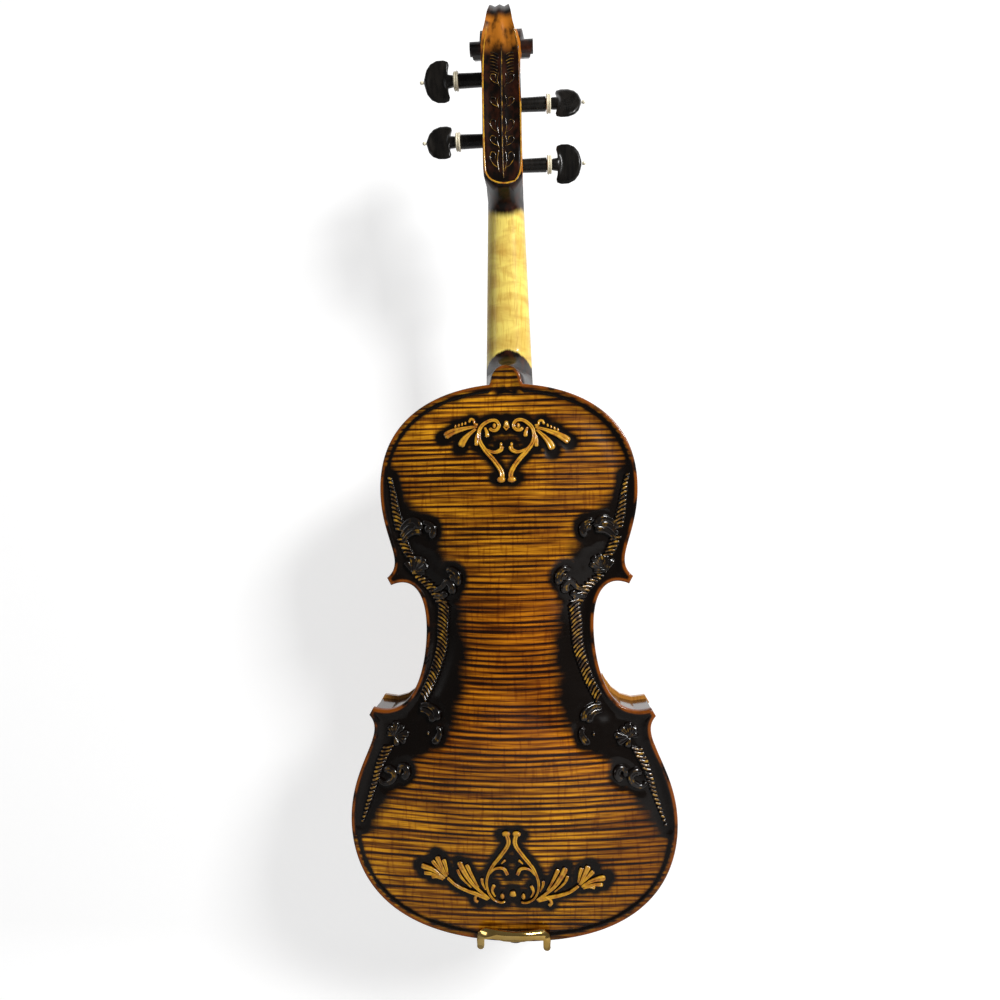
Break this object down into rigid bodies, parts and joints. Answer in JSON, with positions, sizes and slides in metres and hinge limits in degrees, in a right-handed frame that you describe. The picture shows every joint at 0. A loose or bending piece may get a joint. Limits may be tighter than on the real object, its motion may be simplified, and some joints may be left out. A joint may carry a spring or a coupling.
{
  "type": "carved violin",
  "caption": "Full-size violin with a relief-carved back, scroll, tuning pegs, strings, bridge, tailpiece and clamped chinrest.",
  "frame": {"origin": "inside the neck 14 mm below the nut, where a hanger holds the violin", "axes": "+Z towards the scroll, +Y towards the strings, +X to the bass side"},
  "size_m": [0.2086, 0.1111, 0.6053],
  "materials": {
    "flamed_maple": "gloss amber varnish on flamed maple, darkened round the carving",
    "rib_maple": "dark gloss varnish",
    "top_spruce": "gloss amber varnish on spruce",
    "bare_spruce": "bare wood",
    "dark_maple": "dark gloss varnish, bare pale maple along the neck",
    "bridge_maple": "bare maple",
    "ebony": "satin black",
    "bone": "cream, satin",
    "gold": "polished",
    "steel": "wound steel",
    "nylon": "black cord",
    "cork": "cork pad"
  },
  "bodies": {
    "violin": {"back_plate": "flamed_maple", "top_plate": "top_spruce", "lower_rib": "rib_maple", "rib_c_left": "rib_maple", "rib_c_right": "rib_maple", "rib_upper_left": "rib_maple", "rib_upper_right": "rib_maple", "upper_block": "bare_spruce", "lower_block": "bare_spruce", "corner_block_lower_left": "bare_spruce", "corner_block_lower_right": "bare_spruce", "corner_block_upper_left": "bare_spruce", "corner_block_upper_right": "bare_spruce", "lining_lower_back_left": "bare_spruce", "lining_lower_back_right": "bare_spruce", "lining_lower_top_left": "bare_spruce", "lining_lower_top_right": "bare_spruce", "lining_c_back_left": "bare_spruce", "lining_c_back_right": "bare_spruce", "lining_c_top_left": "bare_spruce", "lining_c_top_right": "bare_spruce", "lining_upper_back_left": "bare_spruce", "lining_upper_back_right": "bare_spruce", "lining_upper_top_left": "bare_spruce", "lining_upper_top_right": "bare_spruce", "bass_bar": "bare_spruce", "sound_post": "bare_spruce", "neck": "dark_maple", "fingerboard": "ebony", "nut": "ebony", "string_e": "steel", "string_a": "steel", "string_d": "steel", "string_g": "steel", "bridge": "bridge_maple", "saddle": "ebony", "end_button": "ebony", "tailpiece": "ebony", "tailgut": "nylon", "tuner_bracket": "gold", "chinrest_cup": "ebony", "chinrest_upper_bracket": "gold"},
    "peg_g": {"peg_g": "ebony", "peg_collar_g": "bone", "peg_pip_g": "bone"},
    "peg_d": {"peg_d": "ebony", "peg_collar_d": "bone", "peg_pip_d": "bone"},
    "peg_a": {"peg_a": "ebony", "peg_collar_a": "bone", "peg_pip_a": "bone"},
    "peg_e": {"peg_e": "ebony", "peg_collar_e": "bone", "peg_pip_e": "bone"},
    "tuner_screw": {"tuner_screw": "gold"},
    "tuner_lever": {"tuner_lever": "gold"},
    "clamp_lower": {"chinrest_lower_bracket": "gold", "chinrest_cork": "cork"},
    "barrel_left": {"chinrest_barrel_left": "gold"},
    "barrel_right": {"chinrest_barrel_right": "gold"}
  },
  "joints": [
    {"name": "peg_g_turn", "type": "hinge", "parent": "violin", "child": "peg_g", "pos_m": [0, -0.01019, 0.0295], "axis": [1, 0, 0], "continuous": true},
    {"name": "peg_d_turn", "type": "hinge", "parent": "violin", "child": "peg_d", "pos_m": [0, -0.01568, 0.0668], "axis": [1, 0, 0], "continuous": true},
    {"name": "peg_a_turn", "type": "hinge", "parent": "violin", "child": "peg_a", "pos_m": [0, -0.01958, 0.0824], "axis": [1, 0, 0], "continuous": true},
    {"name": "peg_e_turn", "type": "hinge", "parent": "violin", "child": "peg_e", "pos_m": [0, -0.01231, 0.0462], "axis": [1, 0, 0], "continuous": true},
    {"name": "tuner_screw_turn", "type": "hinge", "parent": "violin", "child": "tuner_screw", "pos_m": [-0.0145, 0.0483, -0.3782], "axis": [0, 1, 0], "range_deg": [-1080, 0]},
    {"name": "tuner_lever_tilt", "type": "hinge", "parent": "violin", "child": "tuner_lever", "pos_m": [-0.0145, 0.04418, -0.37148], "axis": [1, 0, 0], "range_deg": [-4, 0]},
    {"name": "barrel_left_turn", "type": "hinge", "parent": "violin", "child": "barrel_left", "pos_m": [-0.021, -0.02566, -0.47305], "axis": [0, 1, 0], "range_deg": [0, 1350]},
    {"name": "barrel_right_turn", "type": "hinge", "parent": "violin", "child": "barrel_right", "pos_m": [0.021, -0.02566, -0.47305], "axis": [0, 1, 0], "range_deg": [0, 1350]},
    {"name": "clamp_release", "type": "slide", "parent": "violin", "child": "clamp_lower", "axis": [0, -1, 0], "range_m": [0, 0.00598]}
  ],
  "couplings": [
    {"joint": "tuner_lever_tilt", "follows": "tuner_screw_turn", "ratio": 0.0037037},
    {"joint": "barrel_right_turn", "follows": "clamp_release", "rad_per_m": 3937},
    {"joint": "barrel_left_turn", "follows": "clamp_release", "rad_per_m": 3937}
  ]
}
